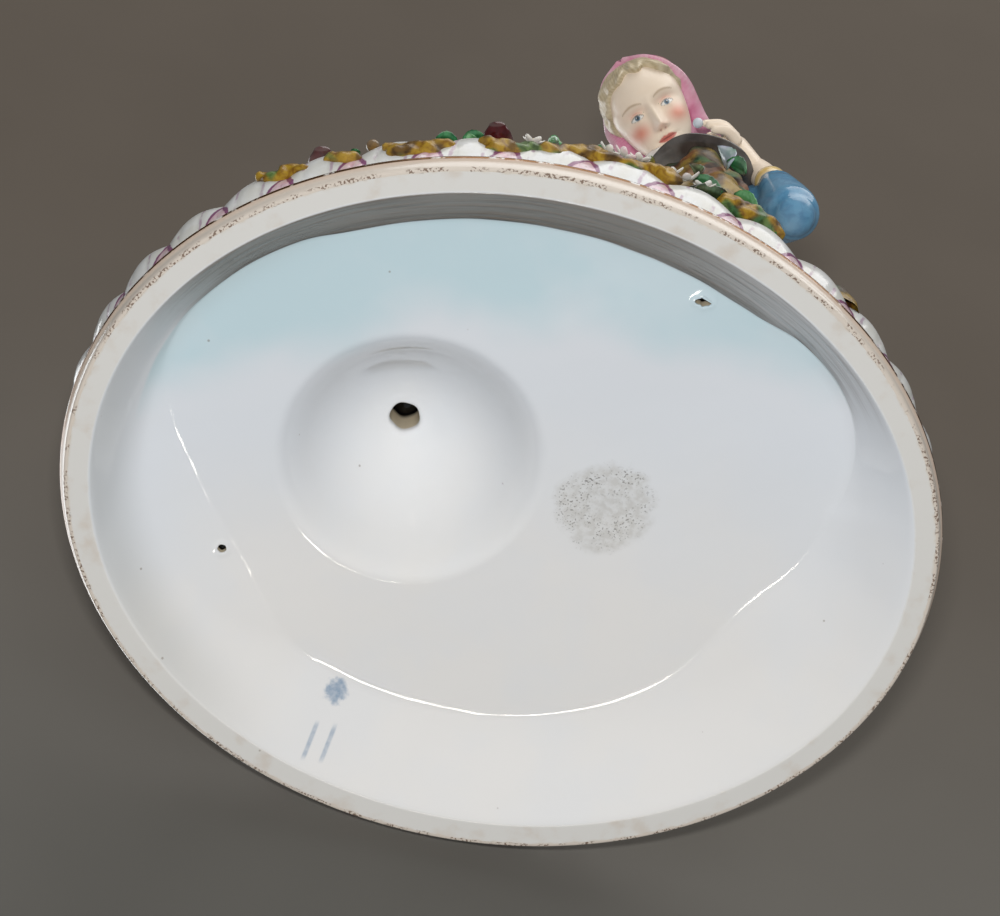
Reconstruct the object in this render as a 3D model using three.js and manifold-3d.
// Porcelain figure group: a seated man and a kneeling woman on a hollow oval rococo base.
// Millimetres, +Z up, the group faces -Y, origin in the middle of the oval foot.
import * as THREE from "three";
import { mergeVertices } from "three/addons/utils/BufferGeometryUtils.js";
import Module from "manifold-3d";

const wasm = await Module();
wasm.setup();

// Sizes of the oval base
const FOOT_LENGTH = 196;
const FOOT_WIDTH = 163.4;
const HALF_LENGTH = FOOT_LENGTH / 2;
const HALF_WIDTH = FOOT_WIDTH / 2;
const FOOT_BAND = 5.4;
const MOULDING_OUT = 1.2;
const SCALLOPS = 18;
const BASE_SEGMENTS = 72;
const RECESS_SEGMENTS = 40;
const CREST_HEIGHT = 12.6;
const SCALLOP_HEIGHT = 2.6;
const SCALLOP_OUT = 1.1;
const GROUND_EDGE = 16;
const GROUND_RISE = 3.5;

// Sizes of the hollow under the base
const CEILING = 12;
const DOME_CENTRE = [-22.5, -3.8];
const DOME_RADIUS = 27;
const DOME_TOP = 38;
const DOME_VENT = { at: [-23.8, -2.6], radius: 3.5 };
const SMALL_VENT = { at: [-58, 28.2], radius: 1 };
const CRACKED_VENT = { at: [29.9, -58.2], radius: 1.9 };

// Places of the two figures: origin on the ground plan and the way each one faces
const MAN = figureAt([-20, 2], [-0.3, -0.954]);
const WOMAN = figureAt([31, -30], [-0.12, -0.993]);

// A point given as left, forward and height in a figure's own directions.
function figureAt(origin, facing) {
  const [forwardX, forwardY] = new THREE.Vector2(...facing).normalize();
  return (left, forward, height) =>
    new THREE.Vector3(
      origin[0] - left * forwardY + forward * forwardX,
      origin[1] + left * forwardX + forward * forwardY,
      height,
    );
}

// A closed triangle mesh as a solid.
function solidOf(geometry) {
  geometry.deleteAttribute("normal");
  geometry.deleteAttribute("uv");
  const merged = mergeVertices(geometry, 1e-4);
  return new wasm.Manifold(
    new wasm.Mesh({
      numProp: 3,
      vertProperties: merged.attributes.position.array,
      triVerts: new Uint32Array(merged.index.array),
    }),
  );
}

function joined(solids) {
  return solids.reduce((all, one) => all.add(one));
}

// A solid through rings of points, each end closed round its middle point.
function skin(rings) {
  const count = rings[0].length;
  const points = rings.flat();
  const index = [];
  for (let ring = 0; ring + 1 < rings.length; ring++) {
    for (let i = 0; i < count; i++) {
      const here = ring * count + i;
      const next = ring * count + ((i + 1) % count);
      index.push(here, next, next + count, here, next + count, here + count);
    }
  }
  const first = points.push(middleOf(rings[0])) - 1;
  const last = points.push(middleOf(rings.at(-1))) - 1;
  const lastRing = (rings.length - 1) * count;
  for (let i = 0; i < count; i++) {
    const j = (i + 1) % count;
    index.push(first, j, i);
    index.push(last, lastRing + i, lastRing + j);
  }
  return solidOf(new THREE.BufferGeometry().setFromPoints(points).setIndex(index));
}

function middleOf(ring) {
  const sum = ring.reduce((all, point) => all.add(point), new THREE.Vector3());
  return sum.divideScalar(ring.length);
}

// A limb or body along stations of [point, half width, half depth]; side is the width's direction.
function limb(stations, side, count = 8) {
  const rings = stations.map(([point, halfWidth, halfDepth], i) => {
    const before = stations[Math.max(i - 1, 0)][0];
    const after = stations[Math.min(i + 1, stations.length - 1)][0];
    const along = after.clone().sub(before).normalize();
    const across = side.clone().addScaledVector(along, -side.dot(along)).normalize();
    const deep = along.clone().cross(across);
    return circleOf(count, (cos, sin) =>
      point
        .clone()
        .addScaledVector(across, cos * halfWidth)
        .addScaledVector(deep, sin * (halfDepth ?? halfWidth)),
    );
  });
  return skin(rings);
}

function circleOf(count, place) {
  return Array.from({ length: count }, (_, i) => {
    const angle = (2 * Math.PI * i) / count;
    return place(Math.cos(angle), Math.sin(angle), angle);
  });
}

// An ellipsoid with half sizes along its own axes, turned by angles in degrees about X, Y and Z.
function ellipsoid(centre, halfSizes, turns = [0, 0, 0], detail = 1) {
  const [turnX, turnY, turnZ] = turns.map(THREE.MathUtils.degToRad);
  const shape = new THREE.IcosahedronGeometry(1, detail)
    .scale(...halfSizes)
    .applyMatrix4(new THREE.Matrix4().makeRotationFromEuler(new THREE.Euler(turnX, turnY, turnZ, "ZYX")))
    .translate(centre.x, centre.y, centre.z);
  return solidOf(shape);
}

// A rough rock through levels of [height, centre x, centre y, half length, half width].
function rock(levels, phase, count = 14) {
  return skin(
    levels.map(([height, x, y, halfLength, halfWidth], level) =>
      circleOf(count, (cos, sin, angle) => {
        const rough = 1 + 0.07 * Math.sin(3 * angle + phase + level) + 0.05 * Math.cos(5 * angle - 2 * level);
        return new THREE.Vector3(x + cos * halfLength * rough, y + sin * halfWidth * rough, height);
      }),
    ),
  );
}

// One oval of the base at a height, drawn in from the foot edge by an inset.
function oval(height, inset, count = BASE_SEGMENTS) {
  return circleOf(
    count,
    (cos, sin) => new THREE.Vector3((HALF_LENGTH - inset) * cos, (HALF_WIDTH - inset) * sin, height),
  );
}

// One oval of the ground on top, as a share of the foot's size.
function groundOval(share) {
  return circleOf(BASE_SEGMENTS, (cos, sin) => {
    const x = HALF_LENGTH * share * cos;
    const y = HALF_WIDTH * share * sin;
    return new THREE.Vector3(x, y, groundHeight(x, y));
  });
}

// Height of the mossy ground, highest in the middle.
function groundHeight(x, y) {
  const share = Math.hypot(x / HALF_LENGTH, y / HALF_WIDTH);
  const swell = 0.5 * Math.sin(x / 9) * Math.cos(y / 11);
  return GROUND_EDGE + GROUND_RISE * Math.sqrt(Math.max(0, 1 - share * share)) + swell;
}

// Foot, small rounded moulding, scalloped scroll border and the mossy ground as one solid
function base() {
  const scalloped = (height, out) =>
    circleOf(BASE_SEGMENTS, (cos, sin, angle) => {
      const lobe = Math.abs(Math.sin((SCALLOPS / 2) * angle + 0.4));
      const reach = out + SCALLOP_OUT * lobe;
      return new THREE.Vector3(
        (HALF_LENGTH + reach) * cos,
        (HALF_WIDTH + reach) * sin,
        height + SCALLOP_HEIGHT * lobe,
      );
    });
  return skin([
    oval(0, 0),
    oval(2, -0.5),
    oval(4, -MOULDING_OUT),
    oval(6, 0.3),
    scalloped(CREST_HEIGHT, 0.3),
    scalloped(CREST_HEIGHT + 0.6, -1.2),
    groundOval(0.955),
    groundOval(0.6),
  ]);
}

// The recess that opens under the foot, with sloping walls and a shallow ceiling
function recess() {
  const levels = [
    [-1, -0.3],
    [0, 0],
    [4, 4],
    [8, 8.5],
    [CEILING - 1, 13.5],
    [CEILING, 20],
  ];
  return skin(levels.map(([height, slope]) => oval(height, FOOT_BAND + slope, RECESS_SEGMENTS)));
}

// The deep round dome in the ceiling, inside the mound
function dome() {
  const levels = [-1.5, 0, 9, 17, 23];
  const profile = levels.map((rise) => {
    const share = Math.max(rise, 0) / (DOME_TOP - CEILING);
    return [CEILING + rise, DOME_RADIUS * Math.sqrt(1 - share * share)];
  });
  profile.push([DOME_TOP, 3]);
  return skin(
    profile.map(([height, radius]) =>
      circleOf(
        20,
        (cos, sin) => new THREE.Vector3(DOME_CENTRE[0] + radius * cos, DOME_CENTRE[1] + radius * sin, height),
      ),
    ),
  );
}

function vent({ at, radius }, from, to, count = 12) {
  const ends = [from, to].map((height) => new THREE.Vector3(...at, height));
  return limb(ends.map((end) => [end, radius]), new THREE.Vector3(1, 0, 0), count);
}

// Everything that is empty: recess, dome, three vents and the cast hollows they lead to
function hollows() {
  const manHollow = limb(
    [
      [MAN(0, 3, 46), 8, 8],
      [MAN(0, 2, 58), 10, 9],
      [MAN(0, 0, 68), 7.5, 6.5],
      [MAN(0, 0, 78), 6, 5],
      [MAN(0, 2, 94), 8.5, 6],
      [MAN(0, 2.5, 104), 7, 5],
    ],
    MAN(1, 0, 0).sub(MAN(0, 0, 0)),
  );
  const stumpHollow = rock(
    [
      [19, 30, -57, 11, 10],
      [34, 30.5, -58, 8, 7.5],
      [54, 31.5, -58, 6, 6],
      [74, 32.5, -57.5, 4, 4],
    ],
    1,
    10,
  );
  const skirtHollow = ellipsoid(new THREE.Vector3(32, -34, 34), [19, 19, 12]);
  const rockHollow = ellipsoid(new THREE.Vector3(-58, 25, 22), [9, 8, 5.5]);
  return joined([
    recess(),
    dome(),
    vent(DOME_VENT, DOME_TOP - 3, 50),
    vent(SMALL_VENT, CEILING - 3, 20, 8),
    vent(CRACKED_VENT, CEILING - 3, 24, 5),
    manHollow,
    stumpHollow,
    skirtHollow,
    rockHollow,
  ]);
}

// Mound under the man, the bank under his thighs, the stump the woman leans on and low rocks
function rocks() {
  const bankFoot = MAN(3, 36, 0);
  const mound = [
    [14, -22, 1, 35, 32],
    [25, -22, 1, 32, 30],
    [36, -22, 1, 31, 28],
    [47, -21, 2, 25, 23],
    [57, -20, 3, 20, 18],
    [64, -20, 3, 12, 12],
  ];
  const bank = [
    [14, bankFoot.x, bankFoot.y, 28, 22],
    [30, bankFoot.x + 1, bankFoot.y + 2, 23, 17],
    [46, bankFoot.x + 2, bankFoot.y + 5, 17, 14],
    [60, bankFoot.x + 3, bankFoot.y + 9, 9, 9],
  ];
  const stump = [
    [14, 29, -59, 19, 17],
    [24, 28.5, -60, 18, 16],
    [36, 30, -60, 14, 13.5],
    [50, 30.5, -60, 13.5, 12.5],
    [66, 32, -59, 10, 10],
    [84, 33, -58, 9.5, 9],
  ];
  const lowRock = [
    [14, -58, 24, 21, 20],
    [24, -58, 24, 18, 17],
    [33, -57, 23, 10, 9],
  ];
  const sideRock = [
    [13, 53, -56, 14, 11],
    [22, 53, -55, 12, 9],
    [29, 52, -53, 7, 5],
  ];
  const backBank = [
    [14, 34, 30, 32, 24],
    [21, 34, 29, 27, 19],
    [27, 33, 28, 16, 10],
  ];
  return [
    rock(mound, 0, 14),
    rock(bank, 2, 12),
    rock(stump, 1, 14),
    rock(lowRock, 3, 11),
    rock(sideRock, 4, 9),
    rock(backBank, 5, 11),
  ];
}

// A pointed leaf, thickest along its middle
function leaf(centre, halfLength, halfWidth, turn) {
  const shape = new THREE.OctahedronGeometry(1, 0)
    .scale(halfLength, halfWidth, 1.2)
    .rotateY(-0.2)
    .rotateZ(THREE.MathUtils.degToRad(turn))
    .translate(centre.x, centre.y, centre.z);
  return solidOf(shape);
}

// A flower with a raised centre and three leaves round it
function sprig(x, y, height, turn, size = 1) {
  const flower = ellipsoid(new THREE.Vector3(x, y, height + 1.2), [3.2 * size, 3.2 * size, 1.5], [0, 0, turn], 0);
  const leaves = [0, 120, 240].map((step) => {
    const angle = THREE.MathUtils.degToRad(turn + step);
    const centre = new THREE.Vector3(
      x + Math.cos(angle) * 4 * size,
      y + Math.sin(angle) * 4 * size,
      height,
    );
    return leaf(centre, 3.6 * size, 1.8 * size, turn + step);
  });
  return joined([flower, ...leaves]);
}

// Flowers and leaves along the rim, on the rocks and a gilt bud at the front
function planting() {
  const made = [];
  const rimAngles = [12, 48, 84, 118, 152, 188, 336];
  for (const degrees of rimAngles) {
    const angle = THREE.MathUtils.degToRad(degrees);
    const x = HALF_LENGTH * 0.87 * Math.cos(angle);
    const y = HALF_WIDTH * 0.87 * Math.sin(angle);
    made.push(sprig(x, y, groundHeight(x, y), degrees * 3));
  }
  const frontSpots = [
    [-34.5, -71.5, 15.8],
    [-14.5, -76, 16.2],
    [4.5, -76, 16.4],
    [21, -73, 22],
    [35, -72, 25],
    [26.5, -70, 48],
    [41, -67, 31],
  ];
  frontSpots.forEach(([x, y, height], i) => made.push(sprig(x, y, height, 50 * i, 0.9)));
  made.push(sprig(-61, 13, 27, 20), sprig(-50, 34, 27, 80), sprig(-68, 30, 24, 140));
  made.push(sprig(38, 24, 26, 40), sprig(24, 36, 24, 100));
  const budFoot = new THREE.Vector3(-48.5, -66, 15);
  const budTop = new THREE.Vector3(-49.3, -70.6, 19);
  made.push(limb([[budFoot, 1.4], [budTop, 1.1]], new THREE.Vector3(1, 0, 0), 6));
  made.push(ellipsoid(budTop, [2.1, 2.1, 2], [0, 0, 0], 0));
  return made;
}

// Shoe from heel to pointed toe, in a figure's own directions
function shoe(place, side, left, heelForward, toeForward) {
  const at = (share, height) => place(left, heelForward + share * (toeForward - heelForward), height);
  return limb(
    [
      [at(0, 21.5), 3, 3.2],
      [at(0.2, 21.5), 4.2, 4.6],
      [at(0.55, 20.3), 4.6, 3.6],
      [at(0.85, 19.2), 4, 2.6],
      [at(1, 18.8), 1.8, 1.4],
    ],
    side,
  );
}

// Hanging cloth through levels of [height, left, forward, half width, half depth], with upright folds
function drape(place, levels, folds, foldDepth, count = 24) {
  const last = levels.length - 1;
  return skin(
    levels.map(([height, left, forward, halfWidth, halfDepth], level) =>
      circleOf(count, (cos, sin, angle) => {
        const fold = 1 + foldDepth * (1 - level / last) * Math.cos(folds * angle);
        return place(left + cos * halfWidth * fold, forward - sin * halfDepth * fold, height);
      }),
    ),
  );
}

function man() {
  const side = MAN(1, 0, 0).sub(MAN(0, 0, 0));
  const ahead = MAN(0, 1, 0).sub(MAN(0, 0, 0));
  const body = limb(
    [
      [MAN(0, -3, 60), 15, 12],
      [MAN(0, -0.5, 77), 12.4, 10.4],
      [MAN(0, 2.5, 92), 15.5, 12.6],
      [MAN(0, 2.5, 102), 18, 11.4],
      [MAN(0, 3, 108.5), 14, 8.4],
      [MAN(0, 4, 113), 6.6, 6.2],
      [MAN(0, 5, 124), 5.4, 5.4],
    ],
    side,
    12,
  );
  const coatSkirt = drape(
    MAN,
    [
      [30, 0, -9, 27, 22],
      [46, 0, -8, 25, 20],
      [62, 0, -5, 18.5, 15],
      [77, 0, -1, 12.8, 10.8],
    ],
    8,
    0.09,
  );
  const pieces = [body, coatSkirt];
  const legs = [
    { hip: -8, knee: -15.5, foot: -16.3, toe: 79.5 },
    { hip: 8, knee: 19, foot: 22, toe: 83.5 },
  ];
  for (const { hip, knee, foot, toe } of legs) {
    const thigh = [
      [MAN(hip, 0, 66), 10.5, 10],
      [MAN((hip + knee) / 2, 24, 70), 10, 9.2],
      [MAN(knee, 44, 71), 8, 7.6],
    ];
    const shin = [
      [MAN(knee, 44, 77), 4.5, 4.5],
      [MAN(knee, 45, 71), 8, 7.8],
      [MAN(knee, 48, 62), 6.6, 6.8],
      [MAN(knee, 51, 50), 6.8, 7.2],
      [MAN(foot, 56, 33), 4.8, 5],
      [MAN(foot, 57, 22), 4.4, 4.6],
    ];
    pieces.push(limb(thigh, side), limb(shin, side), shoe(MAN, side, foot, toe - 29, toe));
  }
  for (const hand of [-1, 1]) {
    const shoulder = [MAN(12 * hand, 2.5, 108), 3];
    const upperArm = [
      [MAN(18 * hand, 2, 102), 7.4],
      [MAN(22.5 * hand, 0.5, 92), 7.6],
      [MAN(24.5 * hand, -1, 80), 6.8],
    ];
    const forearm = [
      [MAN(25 * hand, -3, 79), 5],
      [MAN(23 * hand, 10, 80), 6.6],
      [MAN(19.5 * hand, 22, 81), 7.6],
      [MAN(19 * hand, 23.5, 81), 4],
    ];
    pieces.push(limb([shoulder, ...upperArm], ahead), limb(forearm, side));
    const palm = [MAN(18 * hand, 27.5, 81), 4.4, 3];
    pieces.push(limb([[MAN(19 * hand, 22, 81), 3, 3], palm, [MAN(16.5 * hand, 34.5, 79), 2.6, 1.8]], side));
  }
  const cravat = ellipsoid(MAN(0, 12, 107), [5.2, 4, 7.5], [0, 0, -17], 0);
  const head = limb(
    [
      [MAN(0, 11, 121), 3.8, 3.4],
      [MAN(0, 8, 125.5), 7.4, 7.8],
      [MAN(0, 6.5, 132), 9.4, 10.2],
      [MAN(0, 6, 139), 9.8, 11],
      [MAN(0, 5, 145.5), 7.8, 9],
      [MAN(0, 4.5, 149), 3.5, 4],
    ],
    side,
    12,
  );
  const nose = ellipsoid(MAN(0, 17.4, 133), [1.6, 2.2, 2.6], [20, 0, -17], 0);
  const hair = limb(
    [
      [MAN(0, -10, 104), 2.6, 2.2],
      [MAN(0, -11.5, 118), 4.6, 3.6],
      [MAN(0, -6, 129), 10.6, 6.6],
      [MAN(0, -1.5, 138), 12.2, 10.4],
      [MAN(0, 1.5, 147), 10, 10.2],
      [MAN(0, 2.5, 151), 4.5, 5],
    ],
    side,
    10,
  );
  return [...pieces, cravat, head, nose, hair];
}

// The woman's head bends forward and leans to her right; offsets run along its own directions
const HEAD_CENTRE = new THREE.Vector3(23.4, -60.4, 126);
const HEAD_UP = new THREE.Vector3(-0.49, -0.4, 0.78).normalize();
const HEAD_LEFT = new THREE.Vector3(0.86, -0.38, 0.35).normalize();
const HEAD_FRONT = HEAD_LEFT.clone().cross(HEAD_UP).normalize();

function headPoint(left, front, up) {
  return HEAD_CENTRE.clone()
    .addScaledVector(HEAD_LEFT, left)
    .addScaledVector(HEAD_FRONT, front)
    .addScaledVector(HEAD_UP, up);
}

function womanHead() {
  const face = [
    [headPoint(0, 5.5, -13.2), 3.4, 3],
    [headPoint(0, 3.4, -9.5), 6.4, 6.4],
    [headPoint(0, 1.8, -4), 9, 9],
    [headPoint(0, 1, 2.5), 9.8, 10.2],
    [headPoint(0, 0, 8.5), 8, 9],
    [headPoint(0, -0.5, 12), 3.6, 4],
  ];
  const nose = [
    [headPoint(0, 9.6, 2.5), 1, 1],
    [headPoint(0, 12, -2.6), 1.8, 1.6],
  ];
  const hair = [
    [headPoint(0, -5, -9), 9, 7],
    [headPoint(0, -3.5, -2), 11.8, 9.6],
    [headPoint(0, -1.2, 5.5), 12, 11.4],
    [headPoint(0, 0.2, 11), 9, 9.6],
    [headPoint(0, 0, 13.8), 4, 5],
  ];
  const scarf = [
    [headPoint(0, -8, -18), 9, 5],
    [headPoint(0, -7, -9), 13, 7.6],
    [headPoint(0, -5, 0), 14.4, 9.6],
    [headPoint(0, -3.6, 8), 13.2, 10.8],
    [headPoint(0, -2.8, 13.4), 8.6, 8.2],
    [headPoint(0, -2.6, 15.4), 3.4, 3.4],
  ];
  return [limb(face, HEAD_LEFT, 12), limb(nose, HEAD_LEFT, 6), limb(hair, HEAD_LEFT, 12), limb(scarf, HEAD_LEFT, 12)];
}

function woman() {
  const side = WOMAN(1, 0, 0).sub(WOMAN(0, 0, 0));
  const ahead = WOMAN(0, 1, 0).sub(WOMAN(0, 0, 0));
  const skirt = drape(
    WOMAN,
    [
      [15, 1, 1, 29, 27],
      [23, 1, 1, 28.5, 26.5],
      [34, 1, -1, 25, 23],
      [45, 1, -3.5, 20, 18],
      [56, 0.5, -3, 13.5, 12],
      [66, 0, -0.5, 10, 8.6],
    ],
    8,
    0.1,
  );
  const body = limb(
    [
      [WOMAN(0, -2.5, 58), 11.5, 10],
      [WOMAN(0, 2, 70), 9.8, 8.6],
      [WOMAN(0, 7.5, 82), 12, 10],
      [WOMAN(0, 12.5, 92), 14, 11.4],
      [WOMAN(0, 15.5, 99.5), 15, 9.4],
      [WOMAN(0, 19, 105.5), 10.5, 7],
      [WOMAN(-0.5, 22, 110), 5.6, 5.6],
      [WOMAN(-2.5, 27, 118), 5, 5],
    ],
    side,
    12,
  );
  const leftElbow = new THREE.Vector3(52.4, -64.2, 64.5);
  const leftWrist = new THREE.Vector3(45.6, -63.6, 90);
  const leftArm = [
    [new THREE.Vector3(37.5, -47.5, 105), 3],
    [new THREE.Vector3(43, -48.5, 99), 7],
    [new THREE.Vector3(46.8, -52, 90), 7.8],
    [new THREE.Vector3(50.5, -58.5, 76), 7.6],
    [leftElbow, 6.9],
    [new THREE.Vector3(52.6, -65.2, 60.5), 5],
  ];
  const leftForearm = [
    [new THREE.Vector3(52.6, -64.6, 60.5), 5.4],
    [leftElbow, 6.9],
    [new THREE.Vector3(50, -64.2, 76), 6.6],
    [new THREE.Vector3(47.2, -63.4, 86.5), 5],
    [leftWrist, 3.1],
    [new THREE.Vector3(43, -65.4, 93), 3],
  ];
  const leftFingers = [
    [[new THREE.Vector3(38, -68, 95), 3], [new THREE.Vector3(31, -69.4, 95.5), 2]],
    [[new THREE.Vector3(38, -69, 92), 2.4], [new THREE.Vector3(32, -70.4, 89.5), 1.6]],
  ];
  const rightElbow = [WOMAN(-21, 11, 76), 7];
  const rightArm = [
    [WOMAN(-8.5, 18, 106), 3],
    [WOMAN(-14, 16, 99.5), 7],
    [WOMAN(-18, 14, 90), 7.8],
    rightElbow,
  ];
  const rightForearm = [rightElbow, [WOMAN(-19, 17, 66), 6.4], [WOMAN(-15, 23, 57), 5], [WOMAN(-13, 26, 53), 3]];
  return [
    skirt,
    body,
    limb(leftArm, ahead),
    limb(leftForearm, side),
    ellipsoid(new THREE.Vector3(39.6, -67, 94), [4.8, 3.4, 3.4], [0, 12, 12]),
    ...leftFingers.map((finger) => limb(finger, ahead, 6)),
    limb(rightArm, ahead),
    limb(rightForearm, side),
    limb([[WOMAN(-13.5, 25, 54), 3], [WOMAN(-11.5, 28, 50), 4.2], [WOMAN(-8, 31, 46), 2.2]], side),
    ...womanHead(),
  ];
}

// Dark round hat laid on the stump, with a wide brim and a low crown
function hat() {
  const centre = new THREE.Vector3(33, -58, 86);
  const tilt = new THREE.Vector3(-0.05, -0.14, 1).normalize();
  const at = (rise) => centre.clone().addScaledVector(tilt, rise);
  return limb(
    [
      [at(-1.6), 9],
      [at(-0.4), 13],
      [at(0.7), 13.2],
      [at(1.3), 8],
      [at(5), 7.2],
      [at(7), 5],
    ],
    new THREE.Vector3(1, 0, 0),
    18,
  );
}

const outside = joined([base(), ...rocks(), ...planting(), ...man(), ...woman(), hat()]);
const whole = outside.subtract(hollows());

// Turn the solid back into a mesh
const made = whole.getMesh();
const geometry = new THREE.BufferGeometry();
geometry.setAttribute("position", new THREE.BufferAttribute(made.vertProperties, 3));
geometry.setIndex(new THREE.BufferAttribute(made.triVerts, 1));
geometry.computeVertexNormals();

const porcelain = new THREE.MeshStandardMaterial({ color: 0xf2f0ea, roughness: 0.15, metalness: 0 });
const figureGroup = new THREE.Mesh(geometry, porcelain);
figureGroup.name = "figure_group";

const root = new THREE.Group();
root.name = "porcelain_figure_group";
root.add(figureGroup);

export default root;
